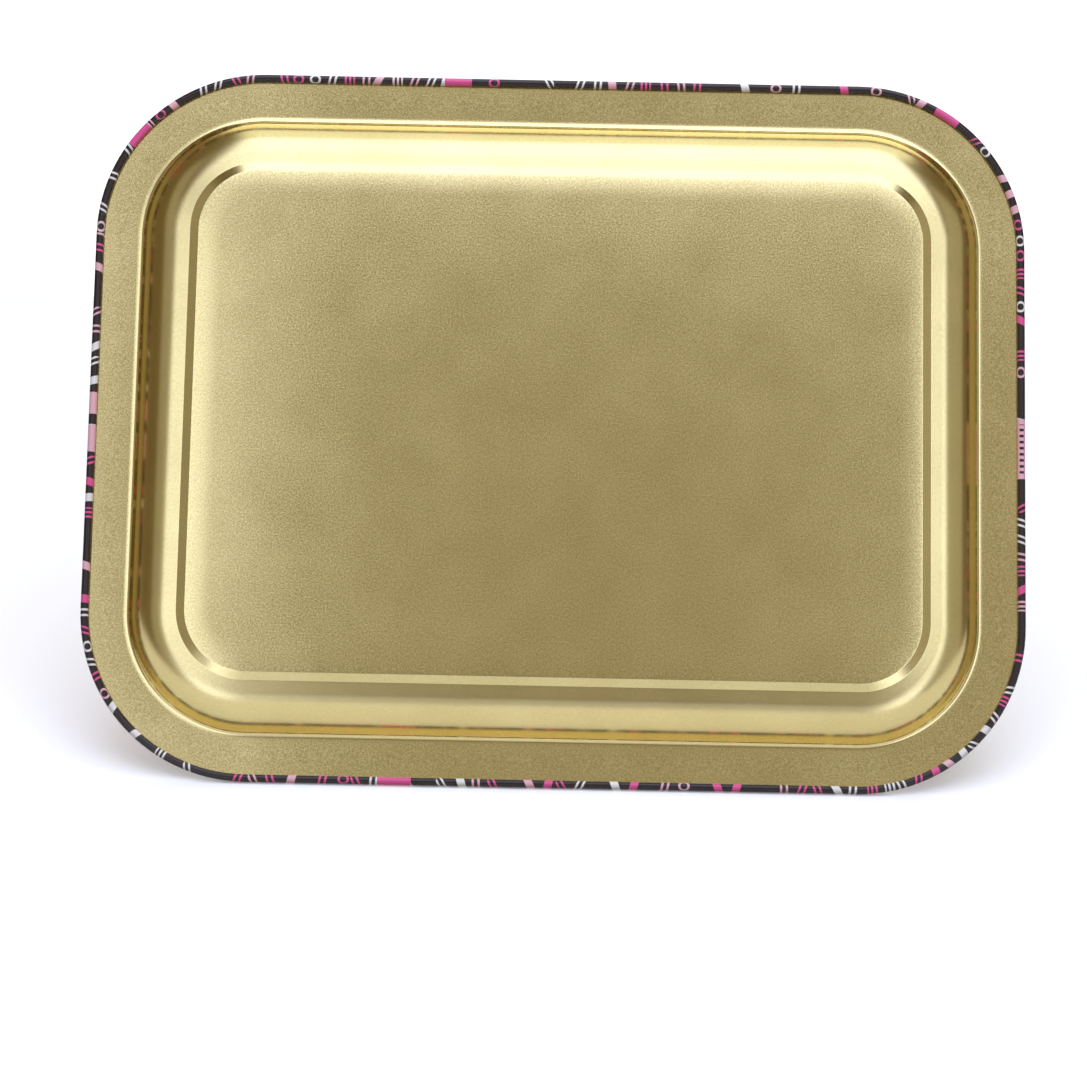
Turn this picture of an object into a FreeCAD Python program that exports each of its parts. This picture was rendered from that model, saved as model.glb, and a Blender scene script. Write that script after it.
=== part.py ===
import FreeCAD, Part
import math
import os

import Sketcher
from FreeCAD import Placement, Rotation, Vector
from Sketcher import Constraint

# Pressed tin serving tray, in millimetres. It lies as it is used: printed face up (+Z), long
# side along X, the underside of its flat base on z = 0, and the origin at the middle of that face.
# One sheet of tinplate is lacquered gold on the back and printed on the face, then pressed and
# rolled at its edge, so sheet and coats share one section. The section line is the underside of
# the bare sheet. It is offset down or up for each layer and carried round the tray's outline.

SIZES = {
    "tray_length": 340.0,
    "tray_width": 260.0,
    "tray_height": 13.5,
    "corner_radius": 61.0,
    "gauge": 0.28,           # bare tinplate
    "lacquer_coat": 0.10,    # gold lacquer on the back
    "print_coat": 0.10,      # ink and varnish on the face
    "curl_radius": 1.4,      # outside of the rolled rim
    "curl_turn": 295.0,      # degrees that the edge is rolled through
    "base_inset": 40.0,      # outline to the edge of the flat base
    "bead_run": 4.2,         # sloped step round the base
    "bead_rise": 1.2,
    "ledge_run": 3.9,        # ledge between the step and the wall
    "ledge_angle": 4.0,      # slope of the ledge, in degrees
    "wall_radius": 15.3,     # long bend from the ledge into the wall
    "wall_angle": 60.0,      # slope of the straight part of the wall, in degrees
    "foot_radius": 2.4,      # bend from the wall into the flange
    "flange_droop": 3.5,     # how far the flange falls towards the rim, in degrees
    "lap": 2.0,              # flat strip of the base that belongs to the section
}

# Places that follow from the sizes.
DERIVED = {
    "half_length": "tray_length / 2",
    "half_width": "tray_width / 2",
    "foot_level": "tray_height - gauge - print_coat - foot_radius",
    "flange_angle": "-flange_droop",
    "curl_inner": "curl_radius - gauge - print_coat",
    "curl_line": "half_length - curl_radius",
    "curl_sweep": "curl_turn - flange_droop",
    "base_edge": "half_length - base_inset",
    "core_inset": "base_inset + lap",
    "core_edge": "half_length - core_inset",
    "core_side": "half_width - core_inset",
    "core_radius": "corner_radius - core_inset",
    "ledge_start": "base_edge + bead_run",
    "wall_start": "ledge_start + ledge_run",
    "ledge_level": "lacquer_coat + bead_rise",
    "sheet_top": "lacquer_coat + gauge",
    "print_depth": "gauge + print_coat",
}

START, END, CENTRE = 1, 2, 3     # which point of a line or arc a constraint takes
FRAME = (-1, 1)       # the sketch's own origin


def make_sizes(doc):
    """Spreadsheet with one aliased row for each size, and a formula for what follows from them."""
    sheet = doc.addObject("Spreadsheet::Sheet", "Sizes")
    rows = [(name, str(value)) for name, value in SIZES.items()]
    rows += [(name, "=" + rule) for name, rule in DERIVED.items()]
    for row, (name, content) in enumerate(rows, start=1):
        sheet.set("A%d" % row, name)
        sheet.set("B%d" % row, content)
        sheet.setAlias("B%d" % row, name)
    doc.recompute()
    return sheet


def arc(centre, radius, first, last):
    """Arc between two angles, in degrees anticlockwise from +X."""
    circle = Part.Circle(centre, Vector(0, 0, 1), radius)
    return Part.ArcOfCircle(circle, math.radians(first), math.radians(last))


def upward(angle, length):
    """Vector of a length, square to a line at an angle in degrees, on its upper side."""
    turn = math.radians(angle)
    return Vector(-math.sin(turn), math.cos(turn)) * length


def bind(sketch, size, kind, *where):
    """Dimension of a sketch that takes its value from the spreadsheet."""
    value = getattr(sketch.Document.Sizes, size)
    if kind == "Angle":
        value = math.radians(value)
    name = "%s_%d" % (size, sketch.ConstraintCount)
    sketch.addConstraint(Constraint(kind, *where, value))
    sketch.renameConstraint(sketch.ConstraintCount - 1, name)
    sketch.setExpression("Constraints." + name, "Sizes." + size)


def draw_rectangle(doc, name, half_x, half_y, radius):
    """Rounded rectangle seen from above, from the middle of its right side, by its size names."""
    x, y, r = (getattr(doc.Sizes, size) for size in (half_x, half_y, radius))
    sketch = doc.addObject("Sketcher::SketchObject", name)
    sketch.addGeometry([
        Part.LineSegment(Vector(x, 0), Vector(x, y - r)),
        arc(Vector(x - r, y - r), r, 0, 90),
        Part.LineSegment(Vector(x - r, y), Vector(r - x, y)),
        arc(Vector(r - x, y - r), r, 90, 180),
        Part.LineSegment(Vector(-x, y - r), Vector(-x, r - y)),
        arc(Vector(r - x, r - y), r, 180, 270),
        Part.LineSegment(Vector(r - x, -y), Vector(x - r, -y)),
        arc(Vector(x - r, r - y), r, 270, 360),
        Part.LineSegment(Vector(x, r - y), Vector(x, 0)),
    ])
    for side in (0, 4, 8):
        sketch.addConstraint(Constraint("Vertical", side))
    for side in (2, 6):
        sketch.addConstraint(Constraint("Horizontal", side))
    for side, corner in ((0, 1), (2, 3), (4, 5), (6, 7)):
        sketch.addConstraint(Constraint("Tangent", side, END, corner, START))
        sketch.addConstraint(Constraint("Tangent", corner, END, side + 2, START))
    for corner in (3, 5, 7):
        sketch.addConstraint(Constraint("Equal", 1, corner))
    sketch.addConstraint(Constraint("Coincident", 8, END, 0, START))
    bind(sketch, radius, "Radius", 1)
    bind(sketch, half_x, "DistanceX", *FRAME, 0, START)
    bind(sketch, half_x, "DistanceX", 4, START, *FRAME)
    bind(sketch, half_y, "DistanceY", *FRAME, 2, START)
    bind(sketch, half_y, "DistanceY", 6, START, *FRAME)
    sketch.addConstraint(Constraint("PointOnObject", 0, START, -1))
    return sketch


def draw_section(doc, sizes):
    """Underside of the bare sheet on the XZ plane, from the base out to the end of the curl.

    Base, sloped bead, ledge, bend, straight wall, foot bend, flange and curl, end to end.
    """
    core = Vector(sizes.core_edge, sizes.lacquer_coat)
    base = Vector(sizes.base_edge, sizes.lacquer_coat)
    ledge = Vector(sizes.ledge_start, sizes.ledge_level)
    ledge_rise = sizes.ledge_run * math.tan(math.radians(sizes.ledge_angle))
    wall = ledge + Vector(sizes.ledge_run, ledge_rise)
    bend = wall + upward(sizes.ledge_angle, sizes.wall_radius)
    wall_low = bend - upward(sizes.wall_angle, sizes.wall_radius)
    foot_lean = upward(sizes.wall_angle, sizes.foot_radius)
    climb = sizes.foot_level + foot_lean.y - wall_low.y
    wall_high = wall_low + Vector(climb / math.tan(math.radians(sizes.wall_angle)), climb)
    foot = wall_high - foot_lean
    flange = foot + upward(sizes.flange_angle, sizes.foot_radius)
    curl_lean = upward(sizes.flange_angle, sizes.curl_inner)
    rim_x = sizes.curl_line + curl_lean.x
    rim = Vector(rim_x, flange.y + (rim_x - flange.x) * math.tan(math.radians(sizes.flange_angle)))
    curl = rim - curl_lean

    sketch = doc.addObject("Sketcher::SketchObject", "Section")
    sketch.Placement = Placement(Vector(), Rotation(Vector(1, 0, 0), 90))
    sketch.addGeometry([
        Part.LineSegment(core, base),
        Part.LineSegment(base, ledge),
        Part.LineSegment(ledge, wall),
        arc(bend, sizes.wall_radius, sizes.ledge_angle - 90, sizes.wall_angle - 90),
        Part.LineSegment(wall_low, wall_high),
        arc(foot, sizes.foot_radius, 90 + sizes.flange_angle, 90 + sizes.wall_angle),
        Part.LineSegment(flange, rim),
        arc(curl, sizes.curl_inner, 90 - sizes.curl_turn, 90 + sizes.flange_angle),
    ])
    sketch.addConstraint(Constraint("Horizontal", 0))
    sketch.addConstraint([
        Constraint("Coincident", 0, END, 1, START),
        Constraint("Coincident", 1, END, 2, START),
        Constraint("Tangent", 2, END, 3, START),
        Constraint("Tangent", 3, END, 4, START),
        Constraint("Tangent", 4, END, 5, END),
        Constraint("Tangent", 5, START, 6, START),
        Constraint("Tangent", 6, END, 7, END),
    ])
    bind(sketch, "core_edge", "DistanceX", *FRAME, 0, START)
    bind(sketch, "lacquer_coat", "DistanceY", *FRAME, 0, START)
    bind(sketch, "base_edge", "DistanceX", *FRAME, 0, END)
    bind(sketch, "ledge_start", "DistanceX", *FRAME, 1, END)
    bind(sketch, "ledge_level", "DistanceY", *FRAME, 1, END)
    bind(sketch, "wall_start", "DistanceX", *FRAME, 2, END)
    bind(sketch, "ledge_angle", "Angle", 2)
    bind(sketch, "wall_radius", "Radius", 3)
    bind(sketch, "wall_angle", "Angle", 4)
    bind(sketch, "foot_radius", "Radius", 5)
    bind(sketch, "foot_level", "DistanceY", *FRAME, 5, CENTRE)
    bind(sketch, "flange_angle", "Angle", 6)
    bind(sketch, "curl_line", "DistanceX", *FRAME, 7, CENTRE)
    bind(sketch, "curl_inner", "Radius", 7)
    bind(sketch, "curl_sweep", "Angle", 7)
    return sketch


def thicken(doc, section, name, thickness):
    """Face between the section line and its parallel, above it, or below it if negative."""
    face = doc.addObject("Part::Offset2D", name)
    face.Source = section
    face.Mode = "Skin"
    face.Join = "Intersection"
    face.Fill = True
    face.setExpression("Value", thickness)
    return face


def carry_round(doc, section, outline, name):
    """Border of one layer: its section carried once round the outline."""
    border = doc.addObject("Part::Sweep", name)
    border.Sections = [section]
    border.Spine = (outline, [])
    border.Solid = True
    return border


def raise_core(doc, core, name, top, bottom):
    """Middle of one layer's base: the core outline between two levels."""
    plate = doc.addObject("Part::Extrusion", name)
    plate.Base = core
    plate.DirMode = "Custom"
    plate.Dir = Vector(0, 0, 1)
    plate.Solid = True
    plate.setExpression("LengthFwd", top)
    plate.setExpression("LengthRev", "-(%s)" % bottom)
    return plate


def join(doc, label, border, plate):
    """One layer of the tray, from its border and the middle of its base."""
    layer = doc.addObject("Part::Fuse", label)
    layer.Base = border
    layer.Tool = plate
    layer.Refine = True
    layer.Label = label
    return layer


def make_pressing(doc, outline, section, core):
    """Bare tinplate, pressed and rolled."""
    profile = thicken(doc, section, "SheetSection", "Sizes.gauge")
    border = carry_round(doc, profile, outline, "SheetBorder")
    plate = raise_core(doc, core, "SheetCore", "Sizes.sheet_top", "Sizes.lacquer_coat")
    return join(doc, "tinplate_pressing", border, plate)


def make_back_lacquer(doc, outline, section, core):
    """Gold lacquer under the sheet, which ends up inside the curl."""
    profile = thicken(doc, section, "LacquerSection", "-Sizes.lacquer_coat")
    border = carry_round(doc, profile, outline, "LacquerBorder")
    plate = raise_core(doc, core, "LacquerCore", "Sizes.lacquer_coat", "0 * Sizes.lacquer_coat")
    return join(doc, "gold_back_lacquer", border, plate)


def make_face_print(doc, outline, section, core):
    """Ink and varnish over the sheet, which ends up outside the curl."""
    down_to_sheet = thicken(doc, section, "SheetUnderPrint", "Sizes.gauge")
    down_to_back = thicken(doc, section, "PrintAndSheet", "Sizes.print_depth")
    profile = doc.addObject("Part::Cut", "PrintSection")
    profile.Base = down_to_back
    profile.Tool = down_to_sheet
    border = carry_round(doc, profile, outline, "PrintBorder")
    top = "Sizes.lacquer_coat + Sizes.print_depth"
    plate = raise_core(doc, core, "PrintCore", top, "Sizes.sheet_top")
    return join(doc, "printed_face_coat", border, plate)


def check(doc, layers):
    """Stop if any object failed, or a layer is not one valid solid."""
    for thing in doc.Objects:
        if "Invalid" in thing.State or "Error" in thing.State:
            raise RuntimeError("%s failed: %s" % (thing.Name, thing.State))
    for layer in layers:
        shape = layer.Shape
        if shape.isNull() or not shape.isValid() or len(shape.Solids) != 1:
            raise RuntimeError("%s is not one valid solid" % layer.Label)
        box = shape.optimalBoundingBox()
        print("%-18s volume %9.1f mm3, z %.2f to %.2f" % (layer.Label, shape.Volume, box.ZMin, box.ZMax))


def main():
    doc = FreeCAD.newDocument("ServingTray")
    sizes = make_sizes(doc)
    outline = draw_rectangle(doc, "Outline", "half_length", "half_width", "corner_radius")
    core = draw_rectangle(doc, "Core", "core_edge", "core_side", "core_radius")
    section = draw_section(doc, sizes)
    layers = [make(doc, outline, section, core)
              for make in (make_pressing, make_back_lacquer, make_face_print)]
    doc.recompute()
    check(doc, layers)
    os.makedirs("parts", exist_ok=True)
    for layer in layers:
        layer.Shape.exportStep("parts/%s.step" % layer.Label)


main()
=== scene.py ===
import math

import bpy
import numpy as np
from mathutils import Matrix, Vector


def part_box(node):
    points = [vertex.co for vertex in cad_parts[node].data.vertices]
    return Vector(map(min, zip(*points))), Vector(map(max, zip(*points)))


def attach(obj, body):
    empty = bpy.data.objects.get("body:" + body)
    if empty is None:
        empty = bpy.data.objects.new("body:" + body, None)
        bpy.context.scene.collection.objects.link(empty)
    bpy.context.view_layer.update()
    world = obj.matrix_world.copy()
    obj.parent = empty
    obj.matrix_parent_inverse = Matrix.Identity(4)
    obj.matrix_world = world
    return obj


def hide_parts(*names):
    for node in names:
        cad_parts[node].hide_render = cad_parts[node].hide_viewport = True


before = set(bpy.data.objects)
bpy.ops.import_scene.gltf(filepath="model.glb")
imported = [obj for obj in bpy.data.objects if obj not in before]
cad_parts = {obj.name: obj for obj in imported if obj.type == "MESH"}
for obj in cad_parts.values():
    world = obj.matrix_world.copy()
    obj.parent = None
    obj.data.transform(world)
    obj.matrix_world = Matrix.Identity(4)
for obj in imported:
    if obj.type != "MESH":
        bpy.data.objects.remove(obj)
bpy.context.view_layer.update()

# ---------------------------------------------------------------------------------------------
# The pressed sheet. One blank of 0.28 mm tinplate, pressed into a flat base with a raised bead, a
# ledge, a sloping wall and a flange, and rolled under at its edge. It shows only as the bright
# cut edge inside the roll. The other two layers follow the same section line, its underside.

# Lengths are in metres and slopes in degrees. A bend is a radius. The base springs up a little at
# its edge, and the flange sets off a little upwards before it droops to the rim.
MM = 0.001
GAUGE = 0.28 * MM
COAT = 0.10 * MM
CORNER_RADIUS = 61.0 * MM
BASE_INSET = 40.0 * MM
BASE_SPRING, SPRING_BEND = 2.6, 180 * MM
BEAD_RUN, BEAD_RISE, BEAD_BEND = 4.2 * MM, 1.2 * MM, 0.9 * MM
BEAD_SLOPE = math.degrees(math.atan2(BEAD_RISE, BEAD_RUN)) + 2
LEDGE_RUN, LEDGE_SLOPE = 3.9 * MM, 4
WALL_SLOPE, WALL_BEND = 60, 15.3 * MM
FOOT_BEND = 2.4 * MM
FLANGE_DROOP, FLANGE_SPRING, FLANGE_BEND = 3.5, 3, 12 * MM
CURL_RADIUS, CURL_TURN = 1.4 * MM, 295

HALF_X, HALF_Y, RIM_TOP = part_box("printed_face_coat")[1]


def headings(angle):
    """Direction of travel and the upward side of it, for a heading in degrees above level."""
    turn = np.radians(angle)
    ahead = np.stack([np.cos(turn), np.sin(turn)], -1)
    return ahead, np.stack([-ahead[..., 1], ahead[..., 0]], -1)


def bend(start, radius, before, after, steps):
    """Arc of the section line from a start point, turning from one heading to another.

    The centre lies one radius to the side it turns to, and each point is one radius from it,
    square to the heading there. Returns points and their upward normals.
    """
    side = math.copysign(radius, after - before)
    ups = headings(np.linspace(before, after, steps))[1]
    return np.array(start) + side * headings(before)[1] - side * ups, ups


def corner(point, radius, before, after, steps):
    """Bend that rounds the corner where two straight parts of the section line meet."""
    back = radius * math.tan(math.radians(abs(after - before)) / 2)
    return bend(np.array(point) - back * headings(before)[0], radius, before, after, steps)


def tail(arc):
    """A bend without its first point, where another bend ends."""
    return arc[0][1:], arc[1][1:]


def section_line():
    """The section from the base's edge to the end of the curl: outward distance and height.

    Outward distance is measured from the rim, so it is minus the inset. Straight parts are what
    is left between the bends. A guard point close to each end of them keeps their shading flat.
    Returns the points, their upward normals, the distance travelled along the line to each, and
    the distance travelled to the two ends of every bend.
    """
    guard = 0.12 * MM
    crest = RIM_TOP - COAT - GAUGE
    roll = CURL_RADIUS - COAT - GAUGE
    ahead, up = headings(BASE_SPRING)
    reach = BEAD_BEND * math.tan(math.radians((BEAD_SLOPE - BASE_SPRING) / 2))
    lift = SPRING_BEND * (1 - up[1]) + reach * ahead[1]
    ledge = (-BASE_INSET + BEAD_RUN, COAT + BEAD_RISE)
    base = (ledge[0] - (BEAD_RISE - lift) / math.tan(math.radians(BEAD_SLOPE)), COAT + lift)
    flat = (base[0] - reach * ahead[0] - SPRING_BEND * ahead[1], COAT)
    fall, rise, droop = (math.tan(math.radians(a)) for a in (LEDGE_SLOPE, WALL_SLOPE, FLANGE_DROOP))
    start = LEDGE_RUN + WALL_BEND * math.tan(math.radians((WALL_SLOPE - LEDGE_SLOPE) / 2))
    wall = (ledge[0] + start, ledge[1] + start * fall)
    ahead, up = headings(FLANGE_SPRING)
    reach = FOOT_BEND * math.tan(math.radians((WALL_SLOPE - FLANGE_SPRING) / 2))
    peak = crest - FLANGE_BEND * (1 - up[1]) - reach * ahead[1]
    foot = (wall[0] + (peak - wall[1]) / rise, peak)
    flange = np.array(foot) + reach * ahead
    fallen = bend(flange, FLANGE_BEND, FLANGE_SPRING, -FLANGE_DROOP, 8)
    rim_start = -CURL_RADIUS + roll * math.sin(math.radians(FLANGE_DROOP))
    curl = (rim_start, fallen[0][-1, 1] - droop * (rim_start - fallen[0][-1, 0]))
    bends = [
        (bend(flat, SPRING_BEND, 0, BASE_SPRING, 9), 0, None),
        (tail(corner(base, BEAD_BEND, BASE_SPRING, BEAD_SLOPE, 7)), None, BEAD_SLOPE),
        (corner(ledge, BEAD_BEND, BEAD_SLOPE, LEDGE_SLOPE, 6), BEAD_SLOPE, LEDGE_SLOPE),
        (corner(wall, WALL_BEND, LEDGE_SLOPE, WALL_SLOPE, 16), LEDGE_SLOPE, WALL_SLOPE),
        (corner(foot, FOOT_BEND, WALL_SLOPE, FLANGE_SPRING, 10), WALL_SLOPE, None),
        (tail(fallen), None, -FLANGE_DROOP),
        (bend(curl, roll, -FLANGE_DROOP, -CURL_TURN, 40), -FLANGE_DROOP, -CURL_TURN),
    ]
    points, ups, ends = [], [], []
    for (arc, arc_ups), before, after in bends:
        if before is not None:
            points.append(arc[:1] - guard * headings(before)[0])
            ups.append(arc_ups[:1])
        ends.append(sum(map(len, points)))
        points.append(arc)
        ups.append(arc_ups)
        ends.append(sum(map(len, points)) - 1)
        if after is not None:
            points.append(arc[-1:] + guard * headings(after)[0])
            ups.append(arc_ups[-1:])
    line, ups = np.concatenate(points)[:-1], np.concatenate(ups)[:-1]
    steps = np.linalg.norm(np.diff(line, axis=0), axis=1)
    travel = np.concatenate([[0], np.cumsum(steps)])
    return line, ups, travel, travel[ends]


def outline(corner_steps=30):
    """Stations round the tray: a point of the inner rectangle, the outward normal and the girth.

    The rim is the inner rectangle grown by the corner radius, so a line at any inset is the
    inner point plus the normal times the radius less the inset.
    """
    inner = np.array([HALF_X, HALF_Y]) - CORNER_RADIUS
    signs = np.array([(1, 1), (-1, 1), (-1, -1), (1, -1)])
    along = np.array([0.006, 0.25, 0.5, 0.75, 0.994])[:, None]
    points, normals = [], []
    for k in range(4):
        here, there = inner * signs[k], inner * signs[(k + 1) % 4]
        turn = np.radians(90 * k + np.linspace(0, 90, corner_steps))
        spread = np.stack([np.cos(turn), np.sin(turn)], -1)
        points += [np.repeat(here[None], corner_steps, 0), here + (there - here) * along]
        normals += [spread, np.repeat(spread[-1:], len(along), 0)]
    points, normals = np.concatenate(points), np.concatenate(normals)
    rim = points + normals * CORNER_RADIUS
    girth = np.linalg.norm(np.roll(rim, -1, 0) - rim, axis=1)
    return points, normals, np.concatenate([[0], np.cumsum(girth)])


def press_layer(name, under, over):
    """One layer of the tray, as a closed shell between two offsets of the section line.

    Its profile runs from the middle of the base along the underside to the end of the curl, and
    back along the top. Each profile point is carried round the outline. Inside the base's edge
    the ring shrinks towards the middle, in proportion. Two UV maps are kept: "lines" holds girth
    and distance along the section, and "blank" holds the place on the flat sheet before pressing.
    """
    line, ups, travel = section_line()[:3]
    shrink = np.array([0.25, 0.5, 0.75, 0.93])
    sizes = np.concatenate([shrink, np.ones(len(line))])
    reach = np.concatenate([line[:1].repeat(len(shrink), 0), line])
    raised = np.concatenate([ups[:1].repeat(len(shrink), 0), ups])
    along = np.concatenate([(shrink - 1) * (HALF_Y - BASE_INSET), travel])
    faces = [reach + raised * offset for offset in (under, over)]
    profile = np.concatenate([faces[0], faces[1][::-1]])
    sizes, along = (np.concatenate([a, a[::-1]]) for a in (sizes, along))

    points, normals, girth = outline()
    count, rows = len(points), len(profile)
    ring = points[:, None] + normals[:, None] * (CORNER_RADIUS + profile[None, :, :1])
    grid = np.empty((count, rows, 3))
    grid[..., :2] = ring * sizes[None, :, None]
    grid[..., 2] = profile[:, 1]
    poles = np.array([[0, 0, profile[0, 1]], [0, 0, profile[-1, 1]]])
    unrolled = CORNER_RADIUS + line[0, 0] + np.maximum(along, 0)[None, :, None]
    flat = points[:, None] + normals[:, None] * unrolled
    blank = np.where(sizes[None, :, None] < 1, grid[..., :2], flat)

    i = np.arange(count)[:, None]
    j = np.arange(rows - 1)[None]
    step = (i + 1) % count
    quads = np.stack([i * rows + j, step * rows + j, step * rows + j + 1, i * rows + j + 1], -1)
    pole = count * rows
    ends = [np.stack([step[:, 0] * rows, i[:, 0] * rows, 0 * i[:, 0] + pole], -1),
            np.stack([i[:, 0] * rows + rows - 1, step[:, 0] * rows + rows - 1, 0 * i[:, 0] + pole + 1], -1)]
    mesh = bpy.data.meshes.new(name)
    mesh.from_pydata(np.concatenate([grid.reshape(-1, 3), poles]), [],
                     quads.reshape(-1, 4).tolist() + ends[0].tolist() + ends[1].tolist())
    girths = np.stack([girth[i + 0 * j], girth[i + 1 + 0 * j], girth[i + 1 + 0 * j], girth[i + 0 * j]], -1)
    alongs = np.stack([along[j + 0 * i], along[j + 0 * i], along[j + 1 + 0 * i], along[j + 1 + 0 * i]], -1)
    lines = np.stack([girths, alongs], -1).reshape(-1, 2)
    fans = np.full((6 * count, 2), (0, along[0]))
    blanks = np.concatenate([blank.reshape(-1, 2), poles[:, :2]])
    used = np.empty(len(mesh.loops), int)
    mesh.loops.foreach_get("vertex_index", used)
    for title, values in (("lines", np.concatenate([lines, fans])), ("blank", blanks[used])):
        layer = mesh.uv_layers.new(name=title)
        layer.data.foreach_set("uv", values.astype(np.float32).ravel())
    mesh.polygons.foreach_set("use_smooth", np.ones(len(mesh.polygons), bool))
    mesh.validate()
    piece = bpy.data.objects.new(name, mesh)
    bpy.context.scene.collection.objects.link(piece)
    return piece


class Signal:
    """A node's output that can be written into sums: each operator adds one Math node."""

    def __init__(self, socket):
        self.socket = socket

    def node(self, kind, settings=None, inputs=None, output=0):
        """New node of a type: its settings first, then the values or links of its sockets."""
        tree = self.socket.id_data
        made = tree.nodes.new(kind)
        for name, value in (settings or {}).items():
            setattr(made, name, value)
        for name, value in (inputs or {}).items():
            if isinstance(value, Signal):
                tree.links.new(value.socket, made.inputs[name])
            else:
                made.inputs[name].default_value = value
        return Signal(made.outputs[output])

    def math(self, operation, *others):
        return self.node("ShaderNodeMath", {"operation": operation}, dict(enumerate((self, *others))))

    def __add__(self, other):
        return self.math("ADD", other)

    def __mul__(self, other):
        return self.math("MULTIPLY", other)

    def __sub__(self, other):
        return self.math("SUBTRACT", other)

    def __rsub__(self, other):
        return (self * -1) + other

    __radd__, __rmul__ = __add__, __mul__

    def ease(self, low, high):
        """0 below low, 1 above high, and smooth between."""
        return self.node("ShaderNodeMapRange", {"interpolation_type": "SMOOTHSTEP"},
                         {"Value": self, "From Min": low, "From Max": high})

    def between(self, low, high, soft):
        """1 between two values and 0 outside them, over a soft edge."""
        return self.ease(low - soft, low + soft) * (1 - self.ease(high - soft, high + soft))

    def blend(self, first, second):
        """Colour mixed from two by this factor."""
        return self.node("ShaderNodeMix", {"data_type": "RGBA"}, {0: self, 6: first, 7: second}, 2)

    def into(self, name):
        """Link this to a named socket of the material's shader."""
        tree = self.socket.id_data
        tree.links.new(self.socket, tree.nodes["Principled BSDF"].inputs[name])


def finish(name, piece, slot, **constants):
    """New material on a piece, with the piece riding the tray's one body. The slot is not used.

    Sets the shader's constants and returns the piece's object coordinates in mm.
    """
    material = bpy.data.materials.new(name)
    material.use_nodes = True
    shader = material.node_tree.nodes["Principled BSDF"]
    for socket, value in constants.items():
        shader.inputs[socket.replace("_", " ")].default_value = value
    piece.data.materials.append(material)
    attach(piece, "root")
    place = Signal(material.node_tree.nodes.new("ShaderNodeTexCoord").outputs["Object"])
    return place.node("ShaderNodeVectorMath", {"operation": "SCALE"}, {0: place, "Scale": 1000.0})


def grain(place, scale, detail=2.0, rough=0.5, stretch=(1, 1, 1)):
    """Even noise from 0 to 1 over a piece, with so many cells to the millimetre."""
    mapped = place.node("ShaderNodeMapping", None, {"Vector": place, "Scale": stretch})
    return place.node("ShaderNodeTexNoise", None,
                      {"Vector": mapped, "Scale": scale, "Detail": detail, "Roughness": rough})


sheet = press_layer("tinplate_sheet", 0, GAUGE)
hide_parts("tinplate_pressing")
place = finish("bright tinplate", sheet, "tinplate", Metallic=1.0)
tin = grain(place, 2.0, stretch=(0.2, 3, 1))
tin.blend((0.52, 0.52, 0.50, 1), (0.72, 0.72, 0.70, 1)).into("Base Color")
(tin * 0.2 + 0.25).into("Roughness")

# ---------------------------------------------------------------------------------------------
# The gold lacquer. It is rolled on to the back of the blank and baked before pressing: a clear
# golden coat that shows the tin's fine matte grain on flat parts, and shines where dies rubbed it.

GOLD, GOLD_DEEP = (0.98, 0.815, 0.385, 1), (0.64, 0.510, 0.205, 1)
MATTE_ROUGH, BEAD_ROUGH, LEDGE_ROUGH, WALL_ROUGH = 0.205, 0.16, 0.24, 0.15
GRAIN_DEPTH = 0.0013
# Two rubbed marks on the base, in mm: from, to, half width and strength.
RUBS = (((78.7, -6.6), (74.1, -5.1), 0.18, 0.5), ((-35.9, -56), (-36.4, -88), 0.16, 0.12))
# Two ends each for the base's spring, base corner, ledge corner, wall, foot, flange and curl.
BEND_ENDS = [float(mark) / MM for mark in section_line()[3]]
BEAD_FROM, BEAD_TO, WALL_FROM, WALL_TO, CURL_FROM = (BEND_ENDS[k] for k in (2, 5, 7, 9, 12))


def sheet_lines(place, uv_map):
    """The two coordinates of a piece's UV map, in mm."""
    spot = place.node("ShaderNodeUVMap", {"uv_map": uv_map})
    return [spot.node("ShaderNodeSeparateXYZ", None, {0: spot}, k) * 1000 for k in range(2)]


lacquer = press_layer("gold_lacquer", -COAT, 0)
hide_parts("gold_back_lacquer")
place = finish("gold lacquer", lacquer, "gold_lacquer", Metallic=1.0)
travel = sheet_lines(place, "lines")[1]
# The fine grain of the tin, broad clouds from the baking, and the three rubbed bands.
fine = grain(place, 1.7, 1.5, 0.6)
cloud = grain(place, 0.035, 3, 0.55)
bead = travel.between(BEAD_FROM, BEAD_TO, 0.3)
ledge = travel.between(BEAD_TO, WALL_FROM, 0.8)
wall = travel.between(WALL_FROM, WALL_TO + 0.5, 0.5)
formed = bead + ledge + wall
stains = 0.5 + 2.0 * (fine - 0.5) * (1 - formed * 0.7) + 0.5 * (cloud - 0.5)
for (x1, y1), (x2, y2), width, strength in RUBS:
    run = math.hypot(x2 - x1, y2 - y1)
    ahead = ((x2 - x1) / run, (y2 - y1) / run, 0)
    sideways = (-ahead[1], ahead[0], 0)
    offset = place.node("ShaderNodeVectorMath", {"operation": "SUBTRACT"}, {0: place, 1: (x1, y1, 0)})
    distance, beside = (
        offset.node("ShaderNodeVectorMath", {"operation": "DOT_PRODUCT"}, {0: offset, 1: way}, 1)
        for way in (ahead, sideways))
    rub = (1 - beside.math("ABSOLUTE").ease(width * 0.3, width * 1.3)) * distance.between(0, run, run * 0.1)
    stains = stains + rub * strength
stains.blend(GOLD_DEEP, GOLD).into("Base Color")
matte = MATTE_ROUGH + (fine - 0.5) * 0.10 + (cloud - 0.5) * 0.04
(matte * (1 - formed) + bead * BEAD_ROUGH + ledge * LEDGE_ROUGH + wall * WALL_ROUGH).into("Roughness")
dents = fine * (1 - formed * 0.85) * GRAIN_DEPTH
place.node("ShaderNodeBump", None, {"Height": dents, "Strength": 1.0, "Distance": 0.001}).into("Normal")

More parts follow.
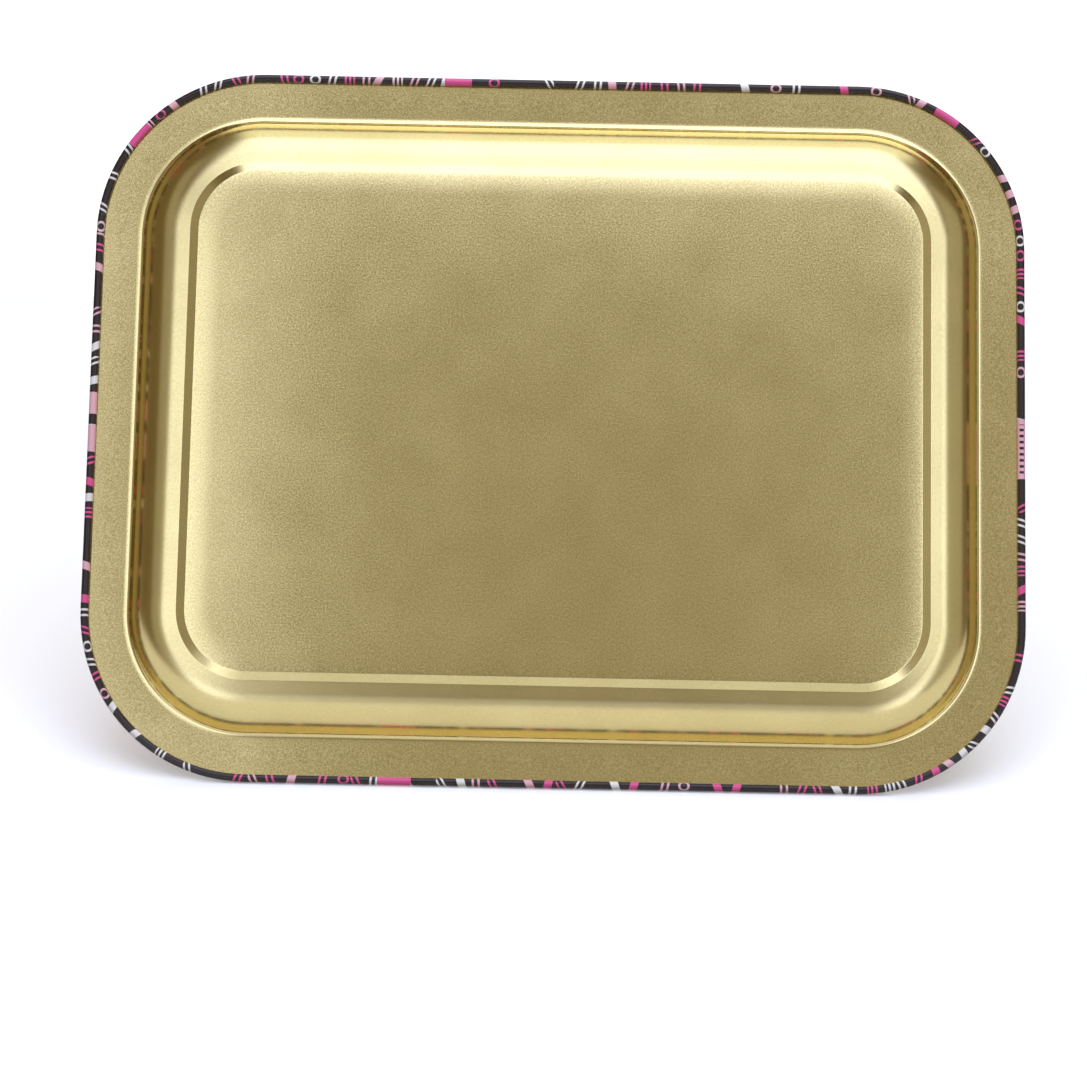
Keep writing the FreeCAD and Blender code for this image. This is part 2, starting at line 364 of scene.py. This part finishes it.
# ---------------------------------------------------------------------------------------------
# The printed face. Ink and gloss varnish on the face of the blank, which the press and the curl
# carry round the outside of the rim. Near-black ground with loose pink and white shapes.

BLACK, BROWN_BLACK = (0.014, 0.008, 0.007, 1), (0.030, 0.014, 0.011, 1)
HOT_PINK, PALE_PINK, CREAM = (0.72, 0.085, 0.27, 1), (0.78, 0.42, 0.47, 1), (0.80, 0.76, 0.72, 1)
RIM_BRICK, SMALL_BRICK, LARGE_BRICK = (6.1, 12), (19, 13), (52, 34)
RIM_LINE, SMALL_LINE, LARGE_LINE = 0.8, 1.6, 3.6
RIM_MIDDLE, RIM_STRETCH = 3.4, 1.35
# Solid blocks round the rim, in mm: middle along the girth, half length, colour.
COMB_PLACE, COMB_HALF, TEETH_PER_MM = 483, 9, 0.45
RIM_BLOCKS = ((41, 5, HOT_PINK), (166, 5, HOT_PINK), (349, 5, HOT_PINK), (COMB_PLACE, 11, PALE_PINK),
              (808, 6, HOT_PINK), (1020, 4, PALE_PINK), (1032, 4, PALE_PINK))


def within(value, limit, soft):
    """1 where a value's size is under a limit."""
    return 1 - value.math("ABSOLUTE").ease(limit - soft, limit + soft)


def motifs(x, y, wide, tall, line, shift):
    """Loose printed shapes, one to a brick of a wall: slanted block, bars, ring or comb of ticks.

    A random number for each brick picks its shape, and another its colour and place. Returns the
    cover of the ink and the colour's number.
    """
    course = y * (1 / tall)
    row = course.math("FLOOR")
    across = x * (1 / wide) + row * 0.37
    column = across.math("FLOOR")
    picks = []
    for k in range(3):
        seed = x.node("ShaderNodeCombineXYZ", None, {0: column, 1: row, 2: shift + k})
        picks.append(x.node("ShaderNodeTexWhiteNoise", {"noise_dimensions": "3D"}, {"Vector": seed}))
    kind, tone, nudge = picks
    right = (across - column - 0.5) * wide + (nudge - 0.5) * (wide * 0.25)
    up = (course - row - 0.5) * tall
    slant = right + up * (nudge - 0.5) * 1.1
    soft = line * 0.12
    inside = within(up, tall * 0.42, soft)
    ring = (right * right + up * up).math("SQRT") - wide * 0.27
    ticks = (right * (0.5 / line)).math("FRACT").math("LESS_THAN", 0.5) * within(right, wide * 0.36, soft)
    bars = within(slant, line * 0.5, soft) + within(slant - line * 2.6, line * 0.5, soft)
    cover = within(slant, wide * 0.24, soft) * inside * kind.between(0.78, 1.1, 0.001)
    cover = cover + bars * inside * kind.between(0.22, 0.60, 0.001)
    cover = cover + within(ring, line * 0.5, soft) * kind.between(0.60, 0.70, 0.001)
    cover = cover + ticks * inside * kind.between(0.70, 0.78, 0.001)
    return cover.math("MINIMUM", 1), tone


def inked(ground, cover, tone, pink_share):
    """Ink of a colour picked by a random number, laid over a ground."""
    pink = tone.ease(pink_share - 0.01, pink_share).blend(HOT_PINK, PALE_PINK)
    return cover.blend(ground, tone.ease(0.62, 0.63).blend(pink, CREAM))


face = press_layer("printed_face", GAUGE, GAUGE + COAT)
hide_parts("printed_face_coat")
place = finish("printed face", face, "face_print", Roughness=0.5, Specular_IOR_Level=0.2,
               Coat_Weight=0.6, Coat_Roughness=0.10)
round_rim, travel = sheet_lines(place, "lines")
across, along = sheet_lines(place, "blank")
over_rim = travel - CURL_FROM
ground = grain(place, 0.5).blend(BLACK, BROWN_BLACK)
rim_row = (over_rim - RIM_MIDDLE) * RIM_STRETCH + RIM_BRICK[1] / 2
rim = inked(ground, *motifs(round_rim, rim_row, *RIM_BRICK, RIM_LINE, 0.0), 0.35)
for middle, half, colour in RIM_BLOCKS:
    rim = within(round_rim - middle, half, 0.1).blend(rim, colour)
teeth = (round_rim * TEETH_PER_MM).math("FRACT").math("LESS_THAN", 0.45)
teeth = teeth * within(round_rim - COMB_PLACE, COMB_HALF, 0.1)
rim = (teeth * over_rim.between(2.6, 3.8, 0.1)).blend(rim, BLACK)
sheet_ink = inked(ground, *motifs(across + 7, along, *SMALL_BRICK, SMALL_LINE, 4.0), 0.35)
sheet_ink = inked(sheet_ink, *motifs(across, along + 11, *LARGE_BRICK, LARGE_LINE, 8.0), 0.42)
over_rim.ease(-2.1, -1.9).blend(sheet_ink, rim).into("Base Color")
peel = grain(place, 1.6, 2) * 0.004
place.node("ShaderNodeBump", None, {"Height": peel, "Strength": 1.0, "Distance": 0.001}).into("Normal")

# ---------------------------------------------------------------------------------------------
# The studio. The tray lies face up on a white table, and is looked at from underneath, as if it
# stood on its front edge on a white floor and leaned back. Both floors are seen from above only.
# Soft boxes stand overhead and to both sides, with dim cards in front to fill the dark parts.

LEAN = math.radians(29.0)
STAND_UP = Vector((0, math.cos(LEAN), -math.sin(LEAN)))
TO_VIEWER = Vector((0, -math.sin(LEAN), -math.cos(LEAN)))
TO_RIGHT = Vector((-1, 0, 0))
MIDDLE = Vector((0, 0, RIM_TOP / 2))
COOL, WARM, WHITE = (0.87, 1.0, 1.42), (0.92, 1.0, 1.05), (1.0, 1.0, 1.0)


def softbox(name, rise, aside, brightness, colour, distance=1.35):
    """Soft light that fills a range of angles, as seen from the middle of the tray.

    Rise is counted in degrees from the viewer's level up over the tray, and aside to the right.
    """
    high, right = (math.radians(sum(angles) / 2) for angles in (rise, aside))
    tall, wide = (2 * distance * math.tan(math.radians(b - a) / 2) for a, b in (rise, aside))
    lamp = bpy.data.lights.new(name, "AREA")
    lamp.shape = "RECTANGLE"
    lamp.size, lamp.size_y = wide, tall * math.cos(right)
    lamp.color = colour
    lamp.energy = brightness * math.pi * lamp.size * lamp.size_y
    light = bpy.data.objects.new(name, lamp)
    upright = STAND_UP * math.sin(high) + TO_VIEWER * math.cos(high)
    back = TO_RIGHT * math.sin(right) + upright * math.cos(right)
    across = (TO_RIGHT - back * TO_RIGHT.dot(back)).normalized()
    light.location = MIDDLE + back * distance
    light.rotation_euler = Matrix((across, back.cross(across), back)).transposed().to_euler()
    light.visible_camera = False
    bpy.context.scene.collection.objects.link(light)
    return light


def one_way_floor(name, corners, white, glow=0.0, mirrored=0.0):
    """White floor that only the camera sees, and only from above, so that it hides nothing.

    With a mirrored share, the metal sees the floor too, at that share of its whiteness.
    """
    mesh = bpy.data.meshes.new(name)
    mesh.from_pydata(corners, [], [(0, 1, 2, 3)])
    floor = bpy.data.objects.new(name, mesh)
    bpy.context.scene.collection.objects.link(floor)
    floor.visible_shadow = False
    material = bpy.data.materials.new(name)
    material.use_nodes = True
    tree = material.node_tree
    matte = tree.nodes["Principled BSDF"]
    matte.inputs["Roughness"].default_value = 1.0
    matte.inputs["Specular IOR Level"].default_value = 0.0
    matte.inputs["Emission Color"].default_value = (1, 1, 1, 1)
    matte.inputs["Emission Strength"].default_value = glow
    paths = tree.nodes.new("ShaderNodeLightPath").outputs
    seen = Signal(paths["Is Camera Ray"])
    if mirrored:
        seen = seen.math("MAXIMUM", Signal(paths["Is Glossy Ray"]))
    dim = (white * mirrored, white * mirrored, white * mirrored, 1)
    Signal(paths["Is Glossy Ray"]).blend((white, white, white, 1), dim).into("Base Color")
    away = Signal(tree.nodes.new("ShaderNodeNewGeometry").outputs["Backfacing"])
    clear = tree.nodes.new("ShaderNodeBsdfTransparent")
    mixed = seen.node("ShaderNodeMixShader", None, {0: seen * (1 - away), 1: Signal(clear.outputs[0]),
                                                   2: Signal(matte.outputs[0])})
    tree.links.new(mixed.socket, tree.nodes["Material Output"].inputs[0])
    mesh.materials.append(material)


table = [(-4, -4, 0), (4, -4, 0), (4, 4, 0), (-4, 4, 0)]
one_way_floor("table_top", table, 0.9)
standing_edge = Vector((0, -HALF_Y, RIM_TOP - CURL_RADIUS))
ground_corners = ((-3, 3), (3, 3), (3, -0.6), (-3, -0.6))
stand = [standing_edge + TO_RIGHT * x + TO_VIEWER * y for x, y in ground_corners]
one_way_floor("standing_floor", stand, 0.93, glow=0.12, mirrored=0.70)

# The range of rise and of aside, the brightness and the tint. Only the room's bounce light is
# left out of the gloss.
softbox("overhead front", (51, 100), (-20, 27), 1.8, COOL)
softbox("overhead back", (100, 142), (-20, 32), 1.08, WARM)
softbox("left", (-7, 50), (-34, -16), 1.18, COOL, distance=0.95)
softbox("far left", (-7, 90), (-60, -38), 0.20, WARM)
softbox("right", (-7, 50), (20.5, 36), 1.30, COOL)
softbox("far right", (-7, 90), (40, 80), 0.28, WARM)
softbox("front", (20, 52), (-37, 37), 0.22, WARM)
softbox("low front", (-7, 12), (-37, 37), 0.38, COOL)
softbox("face", (196, 256), (-40, 20), 2.0, WARM, distance=1.7)
softbox("bounce", (48, 142), (-42, 42), 0.80, WHITE).visible_glossy = False

# The room's own light is dim and warm, and its backdrop is white.
ROOM_STRENGTH, ROOM_COLOUR, BACKDROP = 0.16, (1, 0.74, 0.34, 1), (1.3, 1.3, 1.3, 1)
world = bpy.data.worlds.new("studio")
bpy.context.scene.world = world
world.use_nodes = True
tree = world.node_tree
sky = tree.nodes["Background"]
seen = Signal(tree.nodes.new("ShaderNodeLightPath").outputs["Is Camera Ray"])
tree.links.new((seen * (1 - ROOM_STRENGTH) + ROOM_STRENGTH).socket, sky.inputs["Strength"])
tree.links.new(seen.blend(ROOM_COLOUR, BACKDROP).socket, sky.inputs["Color"])

# ---------------------------------------------------------------------------------------------
# The camera. It stands a little above the standing tray, looks down at a point below its middle
# through a long lens, and is tilted sideways by about a degree.

CAMERA_PLACE = Vector((3.8, -144.0, -849.1)) * MM
CAMERA_AIM = Vector((4.0, -42.1, 12.1)) * MM
CAMERA_TILT = math.radians(1.15)
LENS, SENSOR = 79.5, 36.0
camera = bpy.data.objects.new("camera", bpy.data.cameras.new("camera"))
camera.data.lens, camera.data.sensor_width = LENS, SENSOR
view = (CAMERA_AIM - CAMERA_PLACE).normalized()
side = view.cross(Vector((0, 1, 0))).normalized()
turned = Matrix((side, side.cross(view), -view)).transposed()
camera.matrix_world = Matrix.Translation(CAMERA_PLACE) @ (
    turned @ Matrix.Rotation(CAMERA_TILT, 3, "Z")).to_4x4()
bpy.context.scene.collection.objects.link(camera)
bpy.context.scene.camera = camera
bpy.context.scene.view_settings.view_transform = "Standard"
